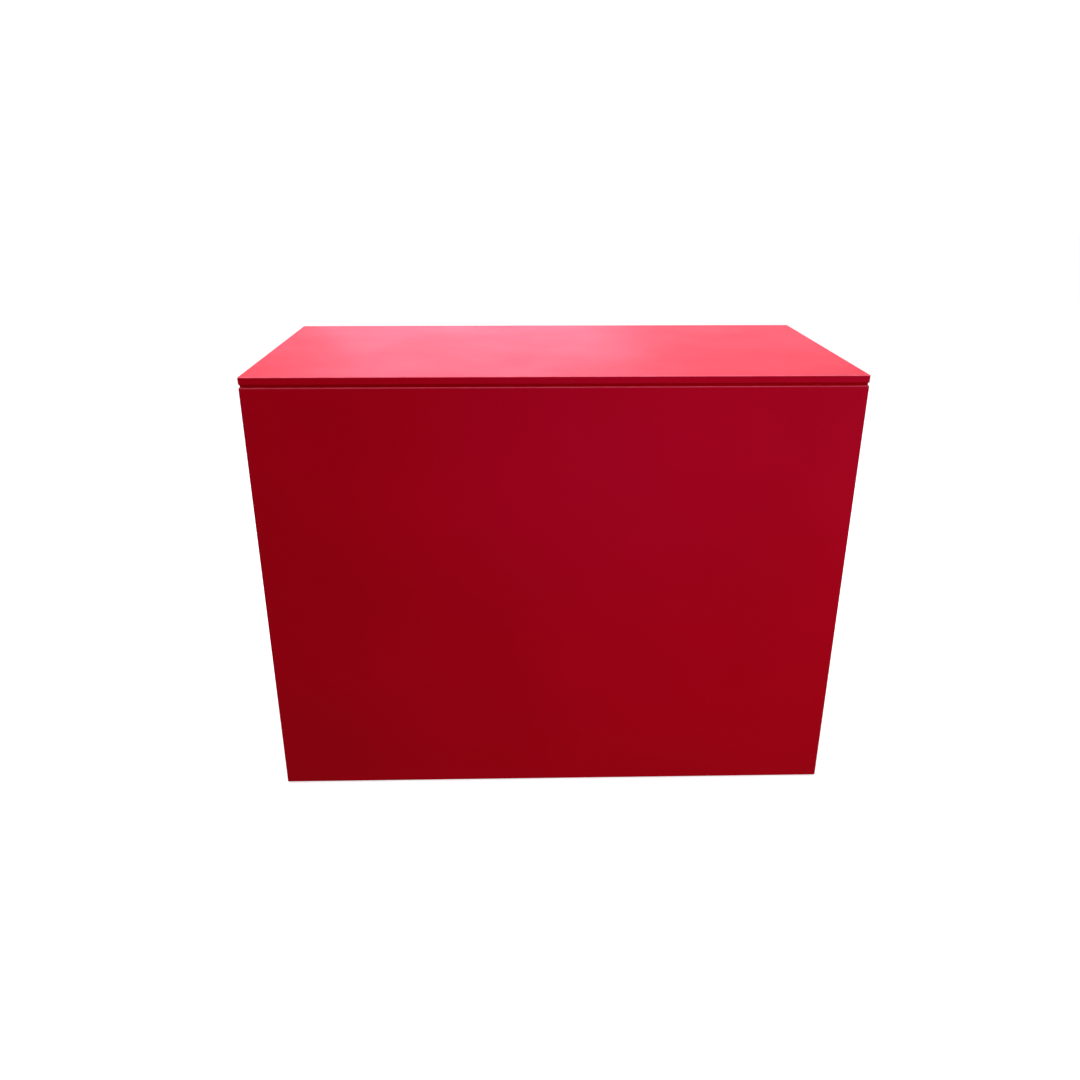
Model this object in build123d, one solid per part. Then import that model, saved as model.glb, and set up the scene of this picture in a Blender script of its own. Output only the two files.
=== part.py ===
from build123d import *
import os

# A free-standing service counter of lacquered 18 mm board. Its front and ends are plain, its
# slab top floats over a shadow gap, and two hinged, lockable doors at the back close the store.
# +X runs along the front to the right, +Y goes from the public side to the working side, and +Z
# is up. The origin is on the floor, under the centre of the slab. All sizes are in millimetres.

# ---- overall sizes
width = 1400.0
depth = 680.0
height = 1080.0

# ---- boards and joints of the carcass
board = 18.0            # every board but the slab
slab_t = 18.0           # slab top
slab_arris = 2.5        # rounding of the slab's edges
body_arris = 2.0        # rounding of the outer edges of front, ends and doors
shadow_gap = 6.0        # between slab and body
gap_setback = 3.0       # from the body's faces in to the spacers
spacer_w = 40.0
back_overhang = 40.0    # of the slab beyond the doors
floor_gap = 4.0         # under front and ends
plinth_h = 80.0         # floor to the underside of the base board
toe_depth = 45.0        # from the doors' faces in to the kick board
rail_w = 100.0
batten = 30.0           # side of the square battens and cleats
shelf_reveal = 30.0     # from the back of the carcass in to the shelves
shelf_stand = 12.0      # from the corner battens back to the shelves
shelf_play = 1.0        # each end of a shelf
shelf_pitch = 32.0      # between the holes of a row
shelf_holes_each = 5    # holes in a row for each shelf
shelf_names = ("lower", "upper")

# ---- doors
door_gap = 3.0          # between doors, and from door to end panel
door_rest = 2.0         # from the doors' inner faces to the carcass
door_lap = 2.0          # from the base board's underside up to the doors
door_head = 3.0         # from the doors up to the top of the body

# ---- butt hinges
hinge_l = 63.0
hinge_leaf_w = 20.0     # from the pin's axis to the leaf's free edge
hinge_leaf_t = 1.5
hinge_pin_r = 1.5
hinge_inset = 110.0     # from a door's ends to the middle of the outer hinges
hinges_per_door = 3
hinge_stand = 0.2       # between the barrel and the door's face
knuckles = 5
knuckle_gap = 0.3
pocket_play = 0.2

# ---- fits
running = 0.05          # radial, between a pin and the piece that turns on it
snug = 0.1              # radial, around fasteners and dowels

# ---- locks, pulls, catches
lock_drop = 121.0       # from the doors' tops down to the locks
lock_backset = 35.0     # from a door's meeting edge to its lock
lock_r = 9.0
lock_flats = 16.0
lock_head_r = 11.5
lock_head_t = 3.5
lock_tail = 2.0         # of the housing beyond its nut
lock_nut_af = 24.0
lock_nut_t = 5.0
plug_r = 6.0
plug_square = 7.0
cam_t = 2.0
cam_w = 14.0
cam_play = 1.5          # from the cam's tip to the keep it turns to
keyway_w = 2.2
keyway_h = 8.0
keyway_l = 18.0
keep_t = 2.0
keep_h = 36.0
keep_d = 25.0
keep_lip = 11.0
keep_clear = 0.4
pull_drop = 261.0       # from the doors' tops down to the pulls' middles
pull_inset = 60.0       # from a door's meeting edge to its pull
pull_centres = 128.0
pull_r = 5.0
pull_reach = 30.0       # from the door's face to the bar's axis
pull_bend = 12.0
pull_bite = 8.0         # of the screws into the bar
catch_w = 46.0
catch_h = 12.0
catch_d = 14.0
catch_x = 95.0
strike_t = 1.5
strike_gap = 0.3

# ---- adjustable legs
leg_inset = 90.0        # from the end panels' inner faces
leg_front = 70.0        # from the front panel's inner face
leg_rear = 50.0         # from the kick board's inner face
leg_flange_r = 32.0
leg_flange_t = 4.0
leg_tube_r = 19.0
leg_tube_l = 45.0
leg_stem_r = 13.0
leg_stem_fit = 0.3
leg_roof = 6.0          # from the base board down to the tube's blind end
leg_spare = 12.0        # from the stem's top up to the blind end
foot_r = 27.0
foot_t = 9.0
foot_grip_r = 18.0
foot_grip_h = 9.0
rib_t = 3.0

# ---- fasteners and dowels
dowel_r = 4.0
dowel_l = 30.0
dowel_sunk = 12.0       # into the face of a board
pin_r = 2.5
pin_web = 2.0           # of board left between two opposite shelf holes
pin_tongue = (9.0, 8.0, 1.6)    # length, width, thickness
dowel_inset = 30.0      # from a board's ends to the middle of its outer dowels
screw_r = 2.0           # of the screws in battens, cleats, slab and pulls
screw_head_r = 4.0
screw_inset = 50.0      # from a short piece's ends to its outer screws
screw_inset_long = 120.0
screw_stagger = 70.0    # between the screws of a batten's two faces

# ---- planes that the pieces share
half_w = width / 2
side_in = half_w - board
front_out = -depth / 2
front_in = front_out + board
body_back = depth / 2 - back_overhang
door_in = body_back - board
carcass_back = door_in - door_rest
slab_under = height - slab_t
body_top = slab_under - shadow_gap
rail_under = body_top - board
base_top = plinth_h + board
kick_out = body_back - toe_depth
kick_in = kick_out - board
door_bottom = plinth_h + door_lap
door_top = body_top - door_head
door_x0 = door_gap / 2
door_x1 = side_in - door_gap
half_board = board / 2
batten_in = side_in - batten
shelf_back = carcass_back - shelf_reveal
shelf_front = front_in + batten + shelf_stand
bay_h = (rail_under - base_top - len(shelf_names) * board) / (len(shelf_names) + 1)
shelf_levels = {name: base_top + bay_h + i * (bay_h + board) for i, name in enumerate(shelf_names)}
pin_hole_d = (board - pin_web) / 2
lock_up = door_top - lock_drop
pull_up = door_top - pull_drop
foot_top = plinth_h - leg_roof - leg_spare
spacer_x = half_w - gap_setback
spacer_front = front_out + gap_setback
spacer_back = body_back - gap_setback

BOTTOM = (Align.CENTER, Align.CENTER, Align.MIN)


def block(x0, x1, y0, y1, z0, z1):
    """A box between the given limits."""
    return Pos(x0, y0, z0) * Box(x1 - x0, y1 - y0, z1 - z0, align=(Align.MIN,) * 3)


def peg(start, direction, radius, length):
    """A round bar from start along direction."""
    return Plane(origin=start, z_dir=direction) * Cylinder(radius, length, align=BOTTOM)


def group(shapes):
    """Separate solids that share one node."""
    return Compound(children=[solid for shape in shapes for solid in shape.solids()])


def without(shape, tools):
    """The shape less those tools whose boxes reach it."""
    own = shape.bounding_box()
    near = []
    for tool in tools:
        box = tool.bounding_box()
        if all(a < d and c < b for a, b, c, d in zip(own.min, own.max, box.min, box.max)):
            near.append(tool)
    return shape - near if near else shape


def mirrored(shape):
    return mirror(shape, about=Plane.YZ)


# ---- fasteners: each is a head, a shank and the hole that the shank needs


def countersunk_screw(head, inward, head_r, shank_r, length):
    """A countersunk cross-recess screw. Its flat head lies at the point head."""
    sink = head_r - shank_r
    place = Plane(origin=head, z_dir=inward)
    body = Cone(head_r, shank_r, sink, align=BOTTOM)
    body += Pos(0, 0, sink) * Cylinder(shank_r, length - sink - shank_r, align=BOTTOM)
    body += Pos(0, 0, length - shank_r) * Cone(shank_r, shank_r / 4, shank_r, align=BOTTOM)
    slot = Box(1.25 * head_r, head_r / 4, sink, align=BOTTOM)
    return place * (body - slot - Rot(0, 0, 90) * slot)


def countersunk_hole(head, inward, head_r, shank_r, length):
    """The countersink and pilot of a countersunk screw, a little larger than the screw."""
    sink = head_r - shank_r
    hole = Cone(head_r + snug, shank_r + snug, sink, align=BOTTOM)
    hole += Pos(0, 0, sink) * Cylinder(shank_r + snug, length - sink + snug, align=BOTTOM)
    return Plane(origin=head, z_dir=inward) * hole


def pan_screw(seat, inward, head_r, shank_r, length):
    """A pan-head cross-recess screw. The underside of its head lies at the point seat."""
    head_t = 0.55 * head_r
    head = Pos(0, 0, -head_t) * Cylinder(head_r, head_t, align=BOTTOM)
    head = fillet(head.edges().filter_by(GeomType.CIRCLE).sort_by(Axis.Z)[0], 0.7 * head_t)
    body = head + Cylinder(shank_r, length, align=BOTTOM)
    slot = Pos(0, 0, -head_t) * Box(head_r, head_r / 4, 0.6 * head_t, align=BOTTOM)
    return Plane(origin=seat, z_dir=inward) * (body - slot - Rot(0, 0, 90) * slot)


def shank_hole(seat, inward, shank_r, length):
    return peg(seat, inward, shank_r + snug, length + snug)


# ---- slab and spacers


def slab():
    whole = block(-half_w, half_w, -depth / 2, depth / 2, slab_under, height)
    return fillet(whole.edges(), slab_arris)


def spacer_bar(x0, x1, y0, y1):
    return block(x0, x1, y0, y1, body_top, slab_under)


# ---- front and ends: mitred at the corners, cut from one rounded outer shape


def body_shape():
    whole = block(-half_w, half_w, front_out, body_back, floor_gap, body_top)
    return fillet(whole.edges(), body_arris)


def front():
    outline = Polyline((-half_w, front_out), (half_w, front_out), (side_in, front_in),
                       (-side_in, front_in), close=True)
    plank = Pos(0, 0, floor_gap) * extrude(make_face(outline), body_top - floor_gap)
    return plank & body_shape()


def end_right():
    outline = Polyline((half_w, front_out), (half_w, body_back), (side_in, body_back),
                       (side_in, front_in), close=True)
    plank = Pos(0, 0, floor_gap) * extrude(make_face(outline), body_top - floor_gap)
    return (plank & body_shape()) - hinge_pockets(side_in, hinge_leaf_t)


# ---- doors and hinges: modelled for the right-hand door, and mirrored for the left

hinge_x = side_in - door_gap / 2
knuckle_r = door_gap / 2 + hinge_leaf_t
hinge_y = body_back + knuckle_r + hinge_stand
hinge_span = door_top - door_bottom - 2 * hinge_inset
hinge_levels = [door_bottom + hinge_inset + i * hinge_span / (hinges_per_door - 1)
                for i in range(hinges_per_door)]
leaf_free = hinge_y - hinge_leaf_w
hinge_screw = {"head_r": 3.0, "shank_r": 1.5, "length": board - 2}
leaf_screw_y = (leaf_free + body_back) / 2 - 0.5
leaf_screw_up = [-0.36 * hinge_l, 0.0, 0.36 * hinge_l]


def hinge_pockets(x_face, reach):
    """Shallow pockets for the leaves, from the board's face at x_face over reach along X."""
    low, high = sorted((x_face, x_face + reach))
    half = hinge_l / 2 + pocket_play
    return [block(low, high, leaf_free - pocket_play, body_back + 1, z - half, z + half)
            for z in hinge_levels]


def leaf(z, side, own):
    """One hinge leaf. side is +1 on the end panel and -1 on the door, own its knuckle numbers."""
    pitch = hinge_l / knuckles
    x_out = hinge_x + side * knuckle_r
    x_face = hinge_x + side * door_gap / 2
    low, high = sorted((x_face, x_out))
    made = block(low, high, leaf_free, hinge_y, z - hinge_l / 2, z + hinge_l / 2)
    for i in range(knuckles):
        start = z - hinge_l / 2 + i * pitch
        if i in own:
            trim = [knuckle_gap / 2 if i > 0 else 0, knuckle_gap / 2 if i < knuckles - 1 else 0]
            made += peg((hinge_x, hinge_y, start + trim[0]), (0, 0, 1), knuckle_r,
                        pitch - sum(trim))
        else:
            made -= peg((hinge_x, hinge_y, start - knuckle_gap / 2), (0, 0, 1),
                        knuckle_r + 2 * knuckle_gap, pitch + knuckle_gap)
    made -= peg((hinge_x, hinge_y, z - hinge_l), (0, 0, 1), hinge_pin_r + running, 2 * hinge_l)
    return made - leaf_holes(z, side)


def leaf_heads(z, side):
    """Where the screws of a leaf start, and which way they go."""
    x_face = hinge_x + side * door_gap / 2
    return [((x_face, leaf_screw_y, z + up), (side, 0, 0)) for up in leaf_screw_up]


def leaf_holes(z, side):
    return [countersunk_hole(*at, **hinge_screw) for at in leaf_heads(z, side)]


def leaf_screws(side):
    return [countersunk_screw(*at, **hinge_screw) for z in hinge_levels for at in leaf_heads(z, side)]


def hinge_pin(z):
    """A pin with a low dome at each end."""
    dome = 0.6 * knuckle_r
    start = z - hinge_l / 2
    made = peg((hinge_x, hinge_y, start), (0, 0, 1), hinge_pin_r, hinge_l)
    for at, up in ((start, -1), (start + hinge_l, 1)):
        cap = peg((hinge_x, hinge_y, at), (0, 0, up), 0.9 * knuckle_r, dome)
        rim = cap.edges().filter_by(GeomType.CIRCLE).sort_by(Axis.Z)[-1 if up > 0 else 0]
        made += fillet(rim, 0.8 * dome)
    return made


def door():
    whole = block(door_x0, door_x1, door_in, body_back, door_bottom, door_top)
    whole = fillet(whole.edges(), body_arris)
    whole -= hinge_pockets(door_x1, -hinge_leaf_t)
    tools = [countersunk_hole(*at, **hinge_screw) for z in hinge_levels for at in leaf_heads(z, -1)]
    tools += [shank_hole(*at, **pull_screw_size) for at in pull_seats()]
    tools += [countersunk_hole(*strike_head, **strike_screw), lock_barrel(snug)]
    return whole - tools


# ---- pulls

pull_x = door_x0 + pull_inset
pull_screw_size = {"shank_r": screw_r, "length": board + pull_bite}


def pull_seats():
    """Where the pull's two screws start on the door's inner face, and which way they go."""
    return [((pull_x, door_in, pull_up + s * pull_centres / 2), (0, 1, 0)) for s in (-1, 1)]


def pull():
    """A D-shaped pull of round bar."""
    low, high = (pull_up + s * pull_centres / 2 for s in (-1, 1))
    bar_y = body_back + pull_reach
    path = FilletPolyline((pull_x, body_back, low), (pull_x, bar_y, low), (pull_x, bar_y, high),
                          (pull_x, body_back, high), radius=pull_bend)
    bar = sweep(Plane(origin=(pull_x, body_back, low), z_dir=(0, 1, 0)) * Circle(pull_r), path)
    return bar - [shank_hole(*at, **pull_screw_size) for at in pull_seats()]


# ---- cam locks: the plug, the cam and its screw turn in the housing

lock_x = door_x0 + lock_backset
lock_l = board + lock_nut_t + lock_tail
lock_end = body_back - lock_l
lock_face = body_back + lock_head_t
cam_reach = lock_x - half_board - keep_t - cam_play
cam_screw_r = 2.0
cam_head_r = 4.5
cam_screw_l = 8.0


def lock_barrel(play):
    """The housing's outer shape behind the door's face: a round bar with two flats."""
    radius = lock_r + play
    bar = peg((lock_x, lock_end - play, lock_up), (0, 1, 0), radius, lock_l + play)
    flats = lock_flats / 2 + play
    return bar & block(lock_x - radius, lock_x + radius, lock_end - play, body_back,
                       lock_up - flats, lock_up + flats)


def lock_housing():
    head = peg((lock_x, body_back, lock_up), (0, 1, 0), lock_head_r, lock_head_t)
    head = fillet(head.edges().filter_by(GeomType.CIRCLE).sort_by(Axis.Y)[-1], 1.2)
    bore = peg((lock_x, lock_end, lock_up), (0, 1, 0), plug_r + running, lock_l + lock_head_t)
    return lock_barrel(0) + head - bore


def lock_nut():
    place = Plane(origin=(lock_x, door_in, lock_up), z_dir=(0, -1, 0))
    hexagon = extrude(RegularPolygon(lock_nut_af / 2, 6, major_radius=False), lock_nut_t)
    hole = Cylinder(lock_r + snug, lock_nut_t, align=BOTTOM)
    return place * chamfer((hexagon - hole).edges().filter_by(Axis.Z, reverse=True)
                           .filter_by(GeomType.LINE).group_by(Axis.Z)[-1], 0.5)


def lock_plug():
    bar = peg((lock_x, lock_end, lock_up), (0, 1, 0), plug_r, lock_l + lock_head_t)
    half = plug_square / 2
    boss = block(lock_x - half, lock_x + half, lock_end - cam_t, lock_end,
                 lock_up - half, lock_up + half)
    keyway = block(lock_x - keyway_w / 2, lock_x + keyway_w / 2, lock_face - keyway_l,
                   lock_face, lock_up - keyway_h / 2, lock_up + keyway_h / 2)
    thread = shank_hole((lock_x, lock_end - cam_t, lock_up), (0, 1, 0), cam_screw_r, cam_screw_l)
    return bar + boss - keyway - thread


def lock_cam():
    """A flat cam that hangs down when the lock is open."""
    start = (lock_x, lock_end - cam_t, lock_up)
    hub = peg(start, (0, 1, 0), cam_w / 2 + 1, cam_t)
    arm = block(lock_x - cam_w / 2, lock_x + cam_w / 2, lock_end - cam_t, lock_end,
                lock_up - cam_reach, lock_up)
    arm = fillet(arm.edges().filter_by(Axis.Y).group_by(Axis.Z)[0], cam_w / 4)
    half = plug_square / 2 + running
    hole = block(lock_x - half, lock_x + half, lock_end - cam_t, lock_end,
                 lock_up - half, lock_up + half)
    return hub + arm - hole


def cam_screw():
    at = (lock_x, lock_end - cam_t, lock_up)
    return pan_screw(at, (0, 1, 0), cam_head_r, cam_screw_r, cam_screw_l)


def key():
    """A flat key in the right-hand plug: a blade with three cuts, a shoulder and a round bow."""
    t = keyway_w - 2 * snug
    blade_h = keyway_h - 2 * snug
    bow_r = 9.0
    stand = 3.0
    bow_y = lock_face + stand + bow_r
    flat = block(lock_x - t / 2, lock_x + t / 2, lock_face - keyway_l + 1, lock_face + stand + 1,
                 lock_up - blade_h / 2, lock_up + blade_h / 2)
    for i, cut in enumerate((1.6, 0.9, 1.9)):
        y = lock_face - keyway_l + 4.5 + 4 * i
        notch = Pos(lock_x, y, lock_up + blade_h / 2) * Rot(45, 0, 0) * Box(t + 1, cut, cut)
        flat -= notch
    bow = peg((lock_x - t / 2, bow_y, lock_up), (1, 0, 0), bow_r, t)
    hole = peg((lock_x - t, bow_y + 3.5, lock_up), (1, 0, 0), 2.5, 2 * t)
    return flat + bow - hole


keep_screw = {"head_r": 3.0, "shank_r": 1.5, "length": 7.0}


def keep_heads():
    y = lock_end + keep_clear + keep_t - keep_d / 2 - keep_t
    return [((half_board + keep_t, y, lock_up + s * 0.3 * keep_h), (-1, 0, 0)) for s in (-1, 1)]


def lock_keep():
    """An angle on the divider; the cam turns in behind its lip."""
    lip_y0 = lock_end + keep_clear
    lip_y1 = lip_y0 + keep_t
    low, high = lock_up - keep_h / 2, lock_up + keep_h / 2
    plate = block(half_board, half_board + keep_t, lip_y1 - keep_d, lip_y1, low, high)
    lip = block(half_board, half_board + keep_t + keep_lip - keep_t, lip_y0, lip_y1, low, high)
    return plate + lip - [countersunk_hole(*at, **keep_screw) for at in keep_heads()]


# ---- magnetic catches under the rear rail, and their strikes on the doors

catch_face = door_in - strike_t - strike_gap
strike_head = ((catch_x, door_in - strike_t, rail_under - catch_h / 2), (0, 1, 0))
strike_screw = {"head_r": 3.0, "shank_r": 1.5, "length": 12.0}


def catch():
    """A magnet between two pole plates in a plastic case."""
    z0 = rail_under - catch_h
    case = block(catch_x - catch_w / 2, catch_x + catch_w / 2, catch_face - catch_d, catch_face,
                 z0, rail_under)
    case = fillet(case.edges().filter_by(Axis.Z), 2.0)
    for s in (-1, 1):
        z = z0 + catch_h / 2 + s * catch_h / 5
        case -= block(catch_x - catch_w / 2 + 5, catch_x + catch_w / 2 - 5, catch_face - 0.6,
                      catch_face, z - 1.2, z + 1.2)
    return case


def strike():
    w, h = 0.9 * catch_w, catch_h
    plate = block(catch_x - w / 2, catch_x + w / 2, door_in - strike_t, door_in,
                  rail_under - h, rail_under)
    plate = fillet(plate.edges().filter_by(Axis.Y), 2.0)
    return plate - countersunk_hole(*strike_head, **strike_screw)


# ---- legs

leg_x = side_in - leg_inset
leg_rows = {"front": front_in + leg_front, "rear": kick_in - leg_rear}
leg_columns = {"left": -leg_x, "middle": 0.0, "right": leg_x}
leg_screw = {"head_r": 3.2, "shank_r": 1.75, "length": 15.0}
leg_screw_circle = (leg_tube_r + leg_flange_r) / 2 + 1


def leg_heads(x, y):
    spots = PolarLocations(leg_screw_circle, 4, start_angle=45)
    z = plinth_h - leg_flange_t
    return [((x + spot.position.X, y + spot.position.Y, z), (0, 0, 1)) for spot in spots]


def leg_socket(x, y):
    """A flange with a threaded tube and four ribs, screwed up under the base board."""
    bottom = plinth_h - leg_tube_l
    flange = peg((x, y, plinth_h - leg_flange_t), (0, 0, 1), leg_flange_r, leg_flange_t)
    tube = peg((x, y, bottom), (0, 0, 1), leg_tube_r, leg_tube_l)
    rib_h = 0.5 * leg_tube_l
    ribs = [Pos(x, y, plinth_h - leg_flange_t - rib_h / 2) * Rot(0, 0, a)
            * Box(2 * leg_tube_r + 10, rib_t, rib_h) for a in (0, 90)]
    bore = peg((x, y, bottom), (0, 0, 1), leg_stem_r + leg_stem_fit, leg_tube_l - leg_roof)
    made = flange + tube + ribs - bore
    return made - [countersunk_hole(*at, **leg_screw) for at in leg_heads(x, y)]


def foot(x, y):
    """A screw foot: a disc with a bevelled rim, a fluted grip and the stem."""
    disc = peg((x, y, 0), (0, 0, 1), foot_r, foot_t)
    disc = chamfer(disc.edges().filter_by(GeomType.CIRCLE).sort_by(Axis.Z)[-1], 3.0)
    grip = peg((x, y, foot_t), (0, 0, 1), foot_grip_r, foot_grip_h)
    flutes = [peg((x + spot.position.X, y + spot.position.Y, foot_t), (0, 0, 1), 2.5, foot_grip_h)
              for spot in PolarLocations(foot_grip_r + 1, 12)]
    stem_from = foot_t + foot_grip_h
    stem = peg((x, y, stem_from), (0, 0, 1), leg_stem_r, foot_top - stem_from)
    stem = chamfer(stem.edges().filter_by(GeomType.CIRCLE).sort_by(Axis.Z)[-1], 1.5)
    return disc + (grip - flutes) + stem


# ---- shelves and their pins

bay_x0 = half_board
bay_x1 = side_in
pin_y = [shelf_front + 60, shelf_back - 60]
hole_steps = [i - shelf_holes_each // 2 for i in range(shelf_holes_each)]


def shelf(z):
    return block(bay_x0 + shelf_play, bay_x1 - shelf_play, shelf_front, shelf_back, z, z + board)


def pin_axis(z):
    """The pins' height under a shelf whose underside is at z: the tongue's top is flush."""
    return z - pin_r


def shelf_pin(y, z, x_face, side):
    """A pin in a hole at x_face, with a flat tongue that points to side."""
    length, w, t = pin_tongue
    axis = pin_axis(z)
    made = peg((x_face, y, axis), (-side, 0, 0), pin_r, pin_hole_d)
    low, high = sorted((x_face, x_face + side * length))
    tongue = block(low, high, y - w / 2, y + w / 2, z - t, z)
    root = peg((x_face, y, axis), (side, 0, 0), pin_r, 1.0)
    return made + tongue + root


def shelf_holes():
    tools = []
    for z in shelf_levels.values():
        for y in pin_y:
            for step in hole_steps:
                up = pin_axis(z) + step * shelf_pitch
                tools.append(peg((bay_x1, y, up), (1, 0, 0), pin_r + snug, pin_hole_d))
                tools.append(peg((bay_x0, y, up), (-1, 0, 0), pin_r + snug, pin_hole_d))
    return tools


def shelf_pins():
    return [shelf_pin(y, z, x, side) for z in shelf_levels.values() for y in pin_y
            for x, side in ((bay_x0, 1), (bay_x1, -1))]


# ---- dowels: each starts dowel_sunk deep in a board's face and ends in the other board's edge


def spread(low, high, count, inset):
    step = (high - low - 2 * inset) / (count - 1)
    return [low + inset + i * step for i in range(count)]


def dowel_starts():
    """Start points and directions of the dowels on the right-hand side and on the centre line."""
    right, centre = [], []
    for low, high, z, count in ((front_in, carcass_back, plinth_h + half_board, 5),
                                (front_in, front_in + rail_w, rail_under + half_board, 2),
                                (carcass_back - rail_w, carcass_back, rail_under + half_board, 2)):
        right += [((side_in + dowel_sunk, y, z), (-1, 0, 0))
                  for y in spread(low, high, count, dowel_inset)]
    kick_y = (kick_in + kick_out) / 2
    right += [((side_in + dowel_sunk, kick_y, z), (-1, 0, 0))
              for z in spread(floor_gap, plinth_h, 2, board)]
    for y in spread(front_in, carcass_back, 4, dowel_inset):
        centre.append(((0, y, base_top - dowel_sunk), (0, 0, 1)))
    for y in (front_in + rail_w / 2, carcass_back - rail_w / 2):
        centre.append(((0, y, rail_under + dowel_sunk), (0, 0, -1)))
    return right, centre


def dowel(start, direction, play=0.0):
    grown = peg(start, direction, dowel_r + play, dowel_l + play)
    if play:
        return grown
    return chamfer(grown.edges().filter_by(GeomType.CIRCLE), 0.8)


# ---- screws that hold battens, cleats and the slab

cleat_bottom = body_top - batten
cleat_y = (front_in + rail_w, carcass_back - rail_w)
batten_top = rail_under


def carcass_heads():
    """Screw heads on the right-hand batten and cleat, and the way in."""
    front_face = front_in + batten
    heads = [((side_in - batten / 2, front_face, z), (0, -1, 0))
             for z in spread(base_top, batten_top, 4, screw_inset)]
    heads += [((batten_in, front_in + batten / 2, z), (1, 0, 0))
              for z in spread(base_top, batten_top, 4, screw_inset + screw_stagger)]
    heads += [((batten_in, y, body_top - batten / 2), (1, 0, 0))
              for y in spread(*cleat_y, 3, screw_inset)]
    return heads


carcass_screw = {"head_r": screw_head_r, "shank_r": screw_r, "length": batten + 0.6 * board}


def top_seats():
    """Seats of the screws that hold the slab. They go up through the middle of each rail's lap
    under its spacer, and through the cleats."""
    seats = []
    for y in ((front_in + spacer_front + spacer_w) / 2, (carcass_back + spacer_back - spacer_w) / 2):
        seats += [((x, y, rail_under), board)
                  for x in spread(-side_in, side_in, 4, screw_inset_long)]
    cleat_x = side_in - batten / 2
    for x in (-cleat_x, cleat_x):
        seats += [((x, y, cleat_bottom), batten) for y in spread(*cleat_y, 2, screw_inset_long)]
    return seats


top_bite = 0.55 * slab_t


def top_screws():
    return [pan_screw(at, (0, 0, 1), screw_head_r, screw_r, through + shadow_gap + top_bite)
            for at, through in top_seats()]


def top_holes():
    return [shank_hole(at, (0, 0, 1), screw_r, through + shadow_gap + top_bite)
            for at, through in top_seats()]


# ---- the whole counter, node by node


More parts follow.
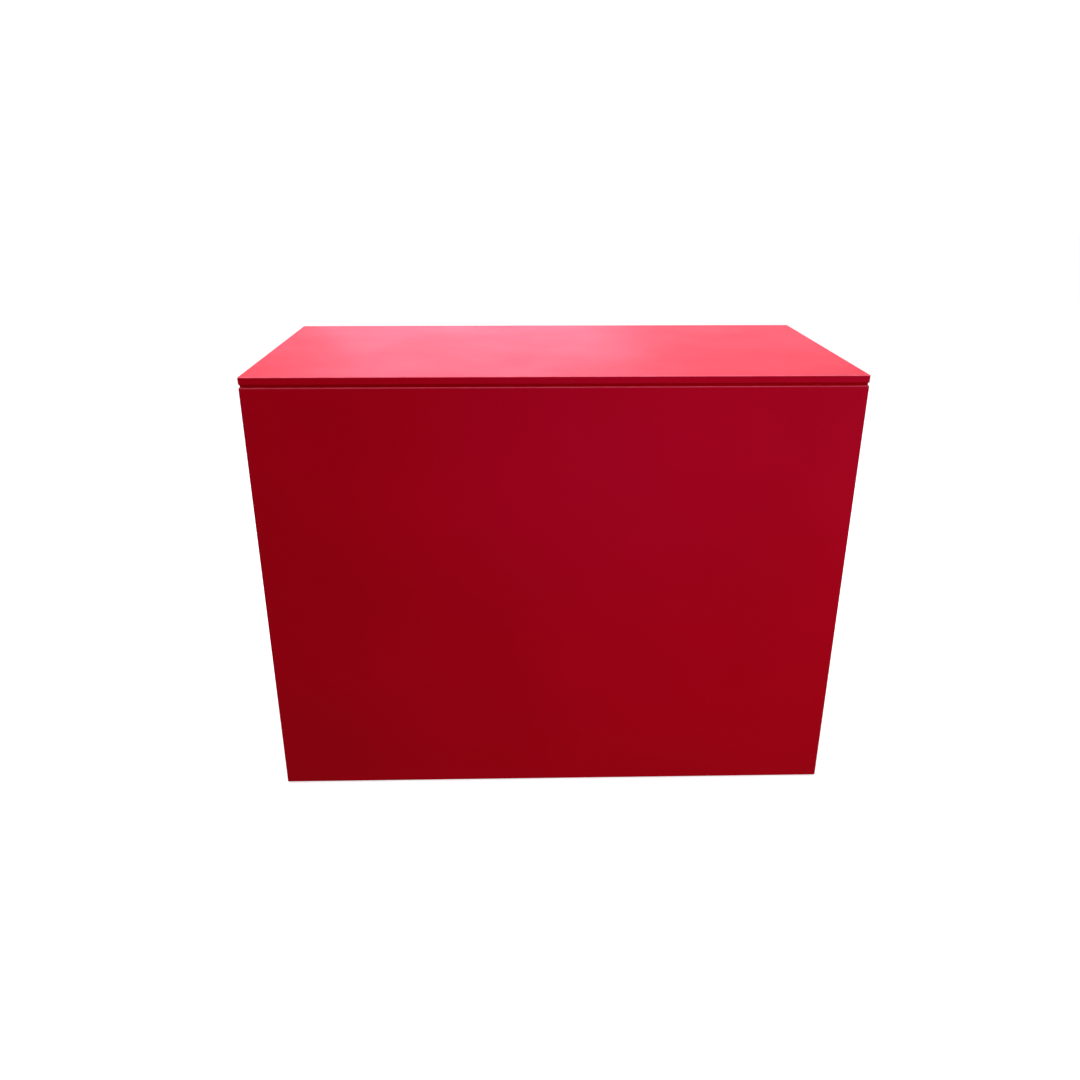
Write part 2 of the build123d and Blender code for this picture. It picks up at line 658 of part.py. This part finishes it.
def build():
    right_dowels, centre_dowels = dowel_starts()
    right_holes = [dowel(*at, play=snug) for at in right_dowels]
    dowel_holes = right_holes + [mirrored(h) for h in right_holes]
    dowel_holes += [dowel(*at, play=snug) for at in centre_dowels]
    right_pilots = [countersunk_hole(*at, **carcass_screw) for at in carcass_heads()]
    right_pilots += [hole for z in hinge_levels for hole in leaf_holes(z, 1)]
    right_pilots += [countersunk_hole(*at, **keep_screw) for at in keep_heads()]
    right_pilots += shelf_holes()
    pilots = right_pilots + [mirrored(hole) for hole in right_pilots]
    for y in leg_rows.values():
        for x in leg_columns.values():
            pilots += [countersunk_hole(*at, **leg_screw) for at in leg_heads(x, y)]
    cuts = dowel_holes + pilots + top_holes()

    nodes = {}
    end = end_right()
    bars = {
        "counter_top": slab(),
        "spacer_front": spacer_bar(-spacer_x, spacer_x, spacer_front, spacer_front + spacer_w),
        "spacer_rear": spacer_bar(-spacer_x, spacer_x, spacer_back - spacer_w, spacer_back),
        "spacer_left": spacer_bar(-spacer_x, spacer_w - spacer_x, spacer_front + spacer_w,
                                  spacer_back - spacer_w),
        "spacer_right": spacer_bar(spacer_x - spacer_w, spacer_x, spacer_front + spacer_w,
                                   spacer_back - spacer_w),
        "front_panel": front(),
        "left_end_panel": mirrored(end),
        "right_end_panel": end,
        "base_board": block(-side_in, side_in, front_in, carcass_back, plinth_h, base_top),
        "kick_board": block(-side_in, side_in, kick_in, kick_out, floor_gap, plinth_h),
        "front_rail": block(-side_in, side_in, front_in, front_in + rail_w, rail_under, body_top),
        "rear_rail": block(-side_in, side_in, carcass_back - rail_w, carcass_back, rail_under,
                           body_top),
        "centre_divider": block(-half_board, half_board, front_in, carcass_back, base_top,
                                rail_under),
    }
    for name, bar in bars.items():
        nodes[name] = without(bar, cuts)

    corner = block(batten_in, side_in, front_in, front_in + batten, base_top, batten_top)
    cleat = block(batten_in, side_in, *cleat_y, cleat_bottom, body_top)
    for name, bar in (("corner_battens", corner), ("top_cleats", cleat)):
        nodes[name] = group([without(bar, cuts), without(mirrored(bar), cuts)])

    for level, z in shelf_levels.items():
        nodes["right_" + level + "_shelf"] = shelf(z)
        nodes["left_" + level + "_shelf"] = mirrored(shelf(z))

    def both(shapes):
        return group(shapes + [mirrored(shape) for shape in shapes])

    nodes["shelf_pins"] = both(shelf_pins())
    nodes["dowels"] = group([both([dowel(*at) for at in right_dowels]),
                             *[dowel(*at) for at in centre_dowels]])
    nodes["top_screws"] = group(top_screws())
    nodes["carcass_screws"] = both([countersunk_screw(*at, **carcass_screw) for at in carcass_heads()])
    on_frame, on_door = range(0, knuckles, 2), range(1, knuckles, 2)
    nodes["frame_hinge_leaves"] = both([leaf(z, 1, on_frame) for z in hinge_levels])
    nodes["hinge_pins"] = both([hinge_pin(z) for z in hinge_levels])
    nodes["frame_screws"] = both(leaf_screws(1)
                                 + [countersunk_screw(*at, **keep_screw) for at in keep_heads()])
    nodes["lock_keeps"] = both([lock_keep()])
    nodes["magnetic_catches"] = both([catch()])

    spots = [(x, y) for y in leg_rows.values() for x in leg_columns.values()]
    nodes["leg_sockets"] = group([leg_socket(x, y) for x, y in spots])
    nodes["leg_screws"] = group([countersunk_screw(*at, **leg_screw) for x, y in spots
                                 for at in leg_heads(x, y)])
    for row, y in leg_rows.items():
        for column, x in leg_columns.items():
            nodes["foot_" + row + "_" + column] = foot(x, y)

    right = {
        "door": door(),
        "door_hinge_leaves": group([leaf(z, -1, on_door) for z in hinge_levels]),
        "door_screws": group(leaf_screws(-1) + [countersunk_screw(*strike_head, **strike_screw)]),
        "pull": pull(),
        "pull_screws": group([pan_screw(*at, screw_head_r, **pull_screw_size)
                              for at in pull_seats()]),
        "catch_strike": strike(),
        "lock_housing": lock_housing(),
        "lock_nut": lock_nut(),
        "lock_plug": lock_plug(),
        "lock_cam": lock_cam(),
        "cam_screw": cam_screw(),
    }
    for name, shape in right.items():
        nodes["right_" + name] = shape
        nodes["left_" + name] = mirrored(shape)
    nodes["key"] = key()
    return nodes


os.makedirs("parts", exist_ok=True)
for node, shape in build().items():
    export_step(shape, "parts/" + node + ".step")
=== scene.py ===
import math

import bpy
import numpy as np
from mathutils import Matrix, Vector


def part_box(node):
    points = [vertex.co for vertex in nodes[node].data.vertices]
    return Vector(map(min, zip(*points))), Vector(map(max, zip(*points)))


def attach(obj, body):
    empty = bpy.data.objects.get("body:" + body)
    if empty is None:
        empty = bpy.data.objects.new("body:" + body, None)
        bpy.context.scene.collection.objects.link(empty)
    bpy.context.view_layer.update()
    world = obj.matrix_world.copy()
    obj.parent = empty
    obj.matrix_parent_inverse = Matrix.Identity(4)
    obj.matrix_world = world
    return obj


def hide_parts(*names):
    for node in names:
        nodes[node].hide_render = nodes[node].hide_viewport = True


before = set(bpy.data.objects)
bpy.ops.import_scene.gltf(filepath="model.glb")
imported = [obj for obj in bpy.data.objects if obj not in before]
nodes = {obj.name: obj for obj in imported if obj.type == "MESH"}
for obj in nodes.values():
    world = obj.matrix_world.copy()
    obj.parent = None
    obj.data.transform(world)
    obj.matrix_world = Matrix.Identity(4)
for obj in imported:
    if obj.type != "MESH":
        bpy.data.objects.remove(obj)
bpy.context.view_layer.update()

# ---------------------------------------------------------------- front and end panels
# 18 mm fibreboard, mitred together at the front corners, glued and lacquered as one piece.
# The lacquer is a pigmented satin polyurethane, sprayed in several coats and left unpolished.
mm = 0.001


def linear(code):
    """An sRGB hex colour as linear red, green, blue and a full alpha."""
    parts = np.array([int(code[i:i + 2], 16) for i in (1, 3, 5)]) / 255
    bright = ((parts + 0.055) / 1.055) ** 2.4
    return (*np.where(parts <= 0.04045, parts / 12.92, bright).tolist(), 1.0)


def add(tree, kind, inputs, **settings):
    """A shader node with its settings, each input given a value or another node's output."""
    node = tree.nodes.new("ShaderNode" + kind)
    for name, value in settings.items():
        setattr(node, name, value)
    for name, value in inputs.items():
        if isinstance(value, bpy.types.NodeSocket):
            tree.links.new(value, node.inputs[name])
        else:
            node.inputs[name].default_value = value
    return node


# Nearly all of a noise's values lie in this middle part of its range.
noise_band = {"From Min": 0.35, "From Max": 0.65}


def finish(name, across=(1, 1, 1), detail=2.0, colour=None, gloss=None, relief=None, **fixed):
    """A Principled material. Colour, gloss and relief each follow their own noise on the piece's
    own coordinates, given as the width of its lumps in metres and then two colours, two
    roughnesses or a height in metres. The lumps are drawn out by across."""
    look = bpy.data.materials.new(name)
    look.use_nodes = True
    tree = look.node_tree
    shader = tree.nodes["Principled BSDF"]
    for socket, value in fixed.items():
        shader.inputs[socket.replace("_", " ")].default_value = value
    for socket, layer in (("Base Color", colour), ("Roughness", gloss), ("Normal", relief)):
        if layer is None:
            continue
        size, *ends = layer
        where = add(tree, "TexCoord", {})
        spread = add(tree, "Mapping", {"Vector": where.outputs["Object"],
                                       "Scale": [1 / (size * stretch) for stretch in across]})
        noise = add(tree, "TexNoise", {"Vector": spread.outputs["Vector"], "Scale": 1.0,
                                       "Detail": detail})
        if socket == "Normal":
            raised = add(tree, "Bump", {"Height": noise.outputs["Fac"], "Distance": ends[0]})
            tree.links.new(raised.outputs["Normal"], shader.inputs[socket])
            continue
        share = add(tree, "MapRange", {"Value": noise.outputs["Fac"], **noise_band})
        low, high = [linear(end) if socket == "Base Color" else (end, end, end, 1)
                     for end in ends]
        mixed = add(tree, "Mix", {0: share.outputs["Result"], 6: low, 7: high}, data_type="RGBA")
        tree.links.new(mixed.outputs[2], shader.inputs[socket])
    return look


def dress(look, *names):
    """Gives CAD nodes a material."""
    for name in names:
        nodes[name].material_slots[0].material = look


# Satin lacquer: a soft, wide sheen, a faint orange peel 3 mm across, and a depth of colour that
# drifts a little where the coats are thicker.
lacquer = finish("satin_red_lacquer", colour=(420 * mm, "#C4000D", "#CA0010"),
                 gloss=(160 * mm, 0.44, 0.47), relief=(3 * mm, 0.05 * mm),
                 IOR=1.5, Specular_Tint=linear("#FF4094"))


def with_painted_highlight(name, highlight_colour, *stops):
    """A copy of the lacquer with a painted highlight: a paler colour mixed into it by height. Each
    stop gives a height in metres and the share of highlight colour painted there, which varies by a
    quarter in lumps of 30 mm."""
    look = lacquer.copy()
    look.name = name
    tree = look.node_tree
    shader = tree.nodes["Principled BSDF"]
    where = add(tree, "TexCoord", {})
    parts = add(tree, "SeparateXYZ", {"Vector": where.outputs["Object"]})
    low, high = stops[0][0], stops[-1][0]
    level = add(tree, "MapRange", {"Value": parts.outputs["Z"], "From Min": low, "From Max": high})
    highlight_ramp = add(tree, "ValToRGB", {"Fac": level.outputs["Result"]})
    for height, _ in stops[1:-1]:
        highlight_ramp.color_ramp.elements.new((height - low) / (high - low))
    for element, (_, share) in zip(highlight_ramp.color_ramp.elements, stops):
        element.color = (share, share, share, 1)
    lumps = add(tree, "TexNoise", {"Vector": where.outputs["Object"], "Scale": 1 / (30 * mm)})
    patchy = add(tree, "MapRange", {"Value": lumps.outputs["Fac"], **noise_band,
                                    "To Min": 0.75, "To Max": 1.0})
    shown = add(tree, "Math", {0: highlight_ramp.outputs["Color"], 1: patchy.outputs["Result"]},
                operation="MULTIPLY")
    coat = shader.inputs["Base Color"].links[0].from_socket
    edge = add(tree, "Mix", {0: shown.outputs[0], 6: coat, 7: linear(highlight_colour)}, data_type="RGBA")
    tree.links.new(edge.outputs[2], shader.inputs["Base Color"])
    return look


# The body's upper arris: a painted highlight, a thin pale pink line along the edge where the
# rounded arris catches the light.
body_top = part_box("front_panel")[1].z
rim = 1.6 * mm
rim_highlight_lacquer = with_painted_highlight("satin_red_lacquer_painted_rim_highlight", "#D84258", (body_top - 2 * rim, 0),
                      (body_top - rim, 1), (body_top, 1))
dress(rim_highlight_lacquer, "front_panel", "left_end_panel", "right_end_panel")

# ---------------------------------------------------------------- carcass boards
# Chipboard faced with white melamine: base, divider, top rails and four shelves. The faces
# are pressed against a lightly textured plate, and the sawn back edges are edged in white.


def shell(name, grid, normals=None):
    """A closed skin over a grid of points: columns run around, rows run along, and a flat
    polygon closes each end. Without normals, edges sharper than 32 degrees stay crisp."""
    rows, columns = grid.shape[:2]
    index = np.arange(rows * columns).reshape(rows, columns)
    around = np.roll(index, -1, axis=1)
    quads = np.stack([index[:-1], around[:-1], around[1:], index[1:]], axis=-1).reshape(-1, 4)
    faces = [*quads.tolist(), index[0, ::-1].tolist(), index[-1].tolist()]
    mesh = bpy.data.meshes.new(name)
    mesh.from_pydata(grid.reshape(-1, 3), [], faces)
    mesh.polygons.foreach_set("use_smooth", [True] * len(faces))
    if normals is None:
        mesh.set_sharp_from_angle(angle=math.radians(32))
    else:
        mesh.normals_split_custom_set_from_vertices(normals.reshape(-1, 3))
    piece = bpy.data.objects.new(name, mesh)
    bpy.context.scene.collection.objects.link(piece)
    return piece


def board_skin(low, high, arris, corner, steps=6):
    """The skin of a board with rounded arrises. In plan it is a rectangle whose corners are
    arcs of radius corner. Going up, each point moves out along its own plan direction n by
    arris * cos(t) while it rises by arris * sin(t), as t goes from -90 to +90 degrees."""
    low, high = np.array(low), np.array(high)
    turn = np.linspace(0, math.pi / 2, steps + 1)
    angle = np.concatenate([turn + quarter * math.pi / 2 for quarter in range(4)])
    side = np.stack([np.repeat([1, 0, 0, 1], steps + 1), np.repeat([1, 1, 0, 0], steps + 1)], 1)
    centre = np.where(side == 1, high[:2] - corner, low[:2] + corner)
    plan = np.stack([np.cos(angle), np.sin(angle)], 1)
    t = np.concatenate([turn - math.pi / 2, turn])[:, None]
    level = np.where(np.arange(len(t))[:, None] <= steps, low[2] + arris, high[2] - arris)
    reach = corner - arris + arris * np.cos(t)
    grid = np.stack([centre[:, 0] + reach * plan[:, 0], centre[:, 1] + reach * plan[:, 1],
                     np.broadcast_to(level + arris * np.sin(t), (len(t), len(angle)))], -1)
    normals = np.stack([np.cos(t) * plan[:, 0], np.cos(t) * plan[:, 1],
                        np.broadcast_to(np.sin(t), (len(t), len(angle)))], -1)
    return grid, normals


# Melamine: warm white, with a low pearl texture in lumps of 1 mm.
melamine = finish("white_melamine", detail=1.0, relief=(1 * mm, 0.03 * mm),
                  Base_Color=linear("#E9E7E1"), Roughness=0.42)
boards = ["base_board", "centre_divider", "front_rail", "rear_rail"]
shelves = [f"{side}_{level}_shelf" for side in ("left", "right") for level in ("lower", "upper")]
dress(melamine, *boards, *shelves)

# Edging: white ABS strip, hot-glued to each back edge, its long arrises scraped round.
edging = finish("white_abs_edging", across=(1, 1, 6), relief=(2 * mm, 0.02 * mm),
                Base_Color=linear("#E2E0D9"), Roughness=0.36)
edging_t = 0.8 * mm
edging_arris = 0.3 * mm
for name in ["base_board", "centre_divider", "rear_rail"] + shelves:
    low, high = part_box(name)
    start, end = (low.x, high.y, low.z), (high.x, high.y + edging_t, high.z)
    strip = shell(name + "_edging", *board_skin(start, end, edging_arris, 1.2 * edging_arris, 3))
    strip.data.materials.append(edging)
    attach(strip, "carcass")

# ---------------------------------------------------------------- kick board and spacers
# The kick board under the doors is an offcut of the same lacquered board. The 6 mm strips that
# hold the slab up off the body are brushed with a matt, darker red: painted shade for the gap.
dress(lacquer, "kick_board")
gap_shade_paint = finish("brushed_matt_dark_red_painted_shade", across=(12, 12, 1),
                   colour=(2 * mm, "#AA000E", "#BA0012"), relief=(2 * mm, 0.05 * mm),
                   Roughness=0.85, Specular_Tint=linear("#FF2020"))
dress(gap_shade_paint, "spacer_front", "spacer_rear", "spacer_left", "spacer_right")

# ---------------------------------------------------------------- slab top
# One lacquered 18 mm board with arrises rounded over 2.5 mm, screwed down from inside so that
# no fixing shows.
slab_arris = 2.5 * mm
slab_corner = 3.0 * mm
slab = shell("counter_slab", *board_skin(*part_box("counter_top"), slab_arris, slab_corner, 8))
# The upper arris gets a painted highlight, strongest halfway round, where it leans at 45 degrees.
slab_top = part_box("counter_top")[1].z
lean = slab_arris * (1 - math.sin(math.pi / 4))
slab.data.materials.append(with_painted_highlight("satin_red_lacquer_painted_arris_highlight", "#F07A90",
                                   (slab_top - slab_arris, 0), (slab_top - lean, 1), (slab_top, 0)))
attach(slab, "carcass")
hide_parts("counter_top")

# ---------------------------------------------------------------- doors
# Two 18 mm fibreboard doors, rounded on every outer arris, that close between the ends. They
# are sprayed on both faces with the same lacquer as the body.
dress(lacquer, "left_door", "right_door")

# ---------------------------------------------------------------- battens, cleats and dowels
# Planed, unfinished spruce, its grain along each piece, glued and screwed into the corners, and
# turned beech dowels glued into the joints.


def timber(name, early, late, ring, along):
    """Straight-grained wood: rings ring metres apart across, drawn out along one axis."""
    stretch = [30 if axis == along else 1 for axis in range(3)]
    return finish(name, across=stretch, detail=3.0, colour=(ring, early, late),
                  relief=(ring, 0.15 * mm), Roughness=0.62)


dress(timber("planed_spruce_upright", "#E3C89B", "#C79E66", 3.5 * mm, 2), "corner_battens")
dress(timber("planed_spruce_level", "#E3C89B", "#C79E66", 3.5 * mm, 1), "top_cleats")
dress(timber("turned_beech", "#D9B48A", "#C1946A", 1.5 * mm, 2), "dowels")

# ---------------------------------------------------------------- hinges and pulls
# Butt hinges pressed from stainless strip and rolled around a pin, and D pulls bent from
# 10 mm stainless bar. Both are brushed, which leaves fine lines along their length.
steel = finish("brushed_stainless_steel", across=(1, 1, 60), gloss=(0.6 * mm, 0.26, 0.40),
               relief=(0.6 * mm, 0.01 * mm), Base_Color=linear("#C9C7C2"), Metallic=1.0)
dress(steel, "frame_hinge_leaves", "left_door_hinge_leaves", "right_door_hinge_leaves",
      "hinge_pins")


def bar_skin(low, high, radius, bend, around=28, turn=10):
    """The skin of a bent D-shaped bar in a plane of constant X. Its axis runs out along Y, up
    along Z and back, with quarter arcs of radius bend, and at each point p of the axis the
    skin is p + radius * (cos(a) * X + sin(a) * side), where side is square to X and the axis."""
    x, y0, z0 = low
    y1, z1 = high[1], high[2]
    arc = np.linspace(0, math.pi / 2, turn)
    out = [(y0, z0, 1, 0)]
    out += [(y1 - bend + bend * math.sin(a), z0 + bend - bend * math.cos(a),
             math.cos(a), math.sin(a)) for a in arc]
    out += [(y1 - bend + bend * math.cos(a), z1 - bend + bend * math.sin(a),
             -math.sin(a), math.cos(a)) for a in arc]
    out += [(y0, z1, -1, 0)]
    y, z, ty, tz = np.array(out).T[:, :, None]
    a = np.linspace(0, 2 * math.pi, around, endpoint=False)
    normals = np.stack(np.broadcast_arrays(np.cos(a), tz * np.sin(a), -ty * np.sin(a)), -1)
    axis = np.stack(np.broadcast_arrays(x, y, z), -1)
    return axis + radius * normals, normals


for side in ("left", "right"):
    low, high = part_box(side + "_pull")
    bar_r = (high.x - low.x) / 2
    middle = (low.x + high.x) / 2
    ends = (middle, low.y, low.z + bar_r), (middle, high.y - bar_r, high.z - bar_r)
    pull = shell(side + "_pull_bar", *bar_skin(*ends, bar_r, 12 * mm))
    pull.data.materials.append(steel)
    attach(pull, side + "_door")
    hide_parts(side + "_pull")

# ---------------------------------------------------------------- screws, shelf pins, lock cams
# Turned and stamped steel small parts, plated in one barrel with bright zinc: a bluish grey
# that turns faintly yellow where it is passivated.
zinc = finish("bright_zinc_plate", colour=(9 * mm, "#C8CCD0", "#D2CDBA"),
              gloss=(9 * mm, 0.28, 0.42), Metallic=1.0)
both = ("left_", "right_")
dress(zinc, "shelf_pins", "top_screws", "carcass_screws", "frame_screws", "leg_screws",
      "lock_keeps", *[side + kind for side in both for kind in
                      ("door_screws", "pull_screws", "catch_strike", "lock_cam", "lock_nut",
                       "cam_screw")])

# ---------------------------------------------------------------- locks and key
# Die-cast lock housings and plugs with satin nickel plate, and a stamped brass key whose high
# spots are rubbed bright.
nickel = finish("satin_nickel_plate", detail=3.0, gloss=(4 * mm, 0.20, 0.32),
                Base_Color=linear("#D6CEC0"), Metallic=1.0)
dress(nickel, *[side + kind for side in both for kind in ("lock_housing", "lock_plug")])

brass = finish("stamped_brass", detail=3.0, colour=(3 * mm, "#A98338", "#D9B766"),
               gloss=(3 * mm, 0.42, 0.26), Metallic=1.0)
dress(brass, "key")

# ---------------------------------------------------------------- magnetic catches
# Injection-moulded white ABS cases fixed up under the rear rail. The two slots in each face are
# where the steel pole plates of its magnet sit.
abs_case = finish("moulded_white_abs", detail=1.0, relief=(0.8 * mm, 0.03 * mm),
                  Base_Color=linear("#DEDBD2"), Roughness=0.45)
dress(abs_case, "magnetic_catches")

# ---------------------------------------------------------------- legs and feet
# Black polypropylene sockets screwed under the base, and screw feet with a fluted grip, all
# moulded in a spark-eroded tool that leaves a fine matt grain.
black = finish("black_polypropylene", gloss=(0.9 * mm, 0.48, 0.62),
               relief=(0.9 * mm, 0.05 * mm), Base_Color=linear("#17171A"))
dress(black, "leg_sockets")


def foot_skin(centre, profile, flutes, depth, fluted, around=144):
    """A turned shape about a vertical axis. Each profile point gives a radius and a height; on
    the fluted rows the radius dips by depth * max(0, cos(flutes * a)) ** 2 at angle a."""
    radius, height = np.array(profile).T[:, :, None]
    a = np.linspace(0, 2 * math.pi, around, endpoint=False)
    dip = depth * np.maximum(0, np.cos(flutes * a)) ** 2
    rim = radius - dip * np.isin(np.arange(len(profile)), fluted)[:, None]
    return np.stack([centre[0] + rim * np.cos(a), centre[1] + rim * np.sin(a),
                     np.broadcast_to(height, rim.shape)], -1)


disc_r, disc_t = 27 * mm, 9 * mm
grip_r, grip_top = 18 * mm, 18 * mm
stem_r = 13 * mm
for name in [node for node in nodes if node.startswith("foot_")]:
    low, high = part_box(name)
    middle = (low + high) / 2
    profile = [(disc_r - 1.5 * mm, 0), (disc_r, 1.2 * mm), (disc_r, disc_t - 3 * mm),
               (disc_r - 0.6 * mm, disc_t - 1.8 * mm), (disc_r - 3 * mm, disc_t),
               (grip_r, disc_t), (grip_r, grip_top - 0.8 * mm), (grip_r - 0.8 * mm, grip_top),
               (stem_r, grip_top), (stem_r, high.z - 1.5 * mm), (stem_r - 1.5 * mm, high.z)]
    moulding = shell(name + "_moulding", foot_skin(middle, profile, 12, 2 * mm, [5, 6, 7]))
    moulding.data.materials.append(black)
    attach(moulding, name)
    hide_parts(name)

# ---------------------------------------------------------------- floor, light and camera
# A white paper sweep under a dome of soft light, a soft panel overhead, a key and two weak
# fills at the front, and two windows behind that give the slab its pale sheen. The paper is
# kept out of the reflections and the bounced light.
paper = finish("white_paper", relief=(6 * mm, 0.05 * mm), Base_Color=linear("#F0F0F0"),
               Roughness=0.9, Emission_Color=linear("#FFFFFF"), Emission_Strength=0.68)
sheet = bpy.data.meshes.new("paper_sweep")
reach = 20.0
sheet.from_pydata([(-reach, -reach, 0), (reach, -reach, 0), (reach, reach, 0),
                   (-reach, reach, 0)], [], [(0, 1, 2, 3)])
sweep = bpy.data.objects.new("paper_sweep", sheet)
sheet.materials.append(paper)
bpy.context.scene.collection.objects.link(sweep)
sweep.visible_diffuse = False
sweep.visible_glossy = False

world = bpy.data.worlds.new("studio")
bpy.context.scene.world = world
world.use_nodes = True
tree = world.node_tree
backdrop = tree.nodes["Background"]
way = add(tree, "TexCoord", {})
parts = add(tree, "SeparateXYZ", {"Vector": way.outputs["Generated"]})
climb = add(tree, "MapRange", {"Value": parts.outputs["Z"], "From Min": -1.0, "From Max": 1.0})
dome = add(tree, "ValToRGB", {"Fac": climb.outputs["Result"]})
stops = dome.color_ramp.elements
# From -1, straight down, to 1, straight up: warm grey below, violet haze, white overhead.
sky = [(-0.5, (0.44, 0.40, 0.30)), (-0.16, (0.58, 0.52, 0.82)), (0.0, (0.55, 0.55, 0.57)),
       (0.7, (1.0, 1.0, 1.0))]
while len(stops) < len(sky):
    stops.new(0.5)
for stop, (height, colour) in zip(stops, sky):
    stop.position = (height + 1) / 2
    stop.color = (*colour, 1)
seen = add(tree, "LightPath", {})
plain = add(tree, "Mix", {0: seen.outputs["Is Camera Ray"], 6: dome.outputs["Color"],
                          7: (3, 3, 3, 1)}, data_type="RGBA")
tree.links.new(plain.outputs[2], backdrop.inputs["Color"])
backdrop.inputs["Strength"].default_value = 0.40


def soft_light(name, place, target, wide, high, power, colour):
    """A rectangular light, wide and high metres across, at place and facing target."""
    lamp = bpy.data.lights.new(name, "AREA")
    lamp.shape = "RECTANGLE"
    lamp.size = wide
    lamp.size_y = high
    lamp.energy = power
    lamp.color = linear(colour)[:3]
    holder = bpy.data.objects.new(name, lamp)
    bpy.context.scene.collection.objects.link(holder)
    aim = Vector(target) - Vector(place)
    holder.location = place
    holder.rotation_euler = aim.to_track_quat("-Z", "Y").to_euler()
    holder.visible_camera = False


soft_light("overhead", (0.0, 0.2, 3.6), (0.0, 0.2, 1.08), 2.4, 2.4, 127, "#FFFFFF")
soft_light("right_key", (2.6, -2.6, 2.4), (0.3, -0.3, 0.8), 1.2, 1.2, 12, "#FFF0FA")
soft_light("right_fill", (1.45, -1.9, 0.55), (0.5, -0.34, 0.55), 0.9, 0.9, 4.4, "#F2D4FA")
soft_light("front_fill", (0.25, -1.65, 0.5), (0.2, -0.34, 0.5), 0.9, 0.9, 3.3, "#DABEFF")
soft_light("window_behind", (0.0, 4.4, 1.9), (0.0, 0, 1.08), 5.2, 1.1, 36, "#D8DAFF")
soft_light("window_middle", (-0.35, 4.3, 1.9), (-0.35, 0, 1.08), 2.2, 1.1, 16, "#D8DAFF")

# The camera is at a standing person's eye, 2 m in front of the counter, looking down at it.
eye = (-0.0837, -2.3319, 1.514)
down = math.radians(22.484)
across = math.radians(1.386)
tilt = math.radians(0.088)
lens = bpy.data.cameras.new("camera")
lens.sensor_width = 36.0
lens.lens = 30.35333
camera = bpy.data.objects.new("camera", lens)
bpy.context.scene.collection.objects.link(camera)
camera.matrix_world = (Matrix.Translation(eye) @ Matrix.Rotation(-across, 4, "Z")
                       @ Matrix.Rotation(math.pi / 2 - down, 4, "X")
                       @ Matrix.Rotation(tilt, 4, "Z"))
bpy.context.scene.camera = camera
bpy.context.scene.view_settings.view_transform = "Standard"
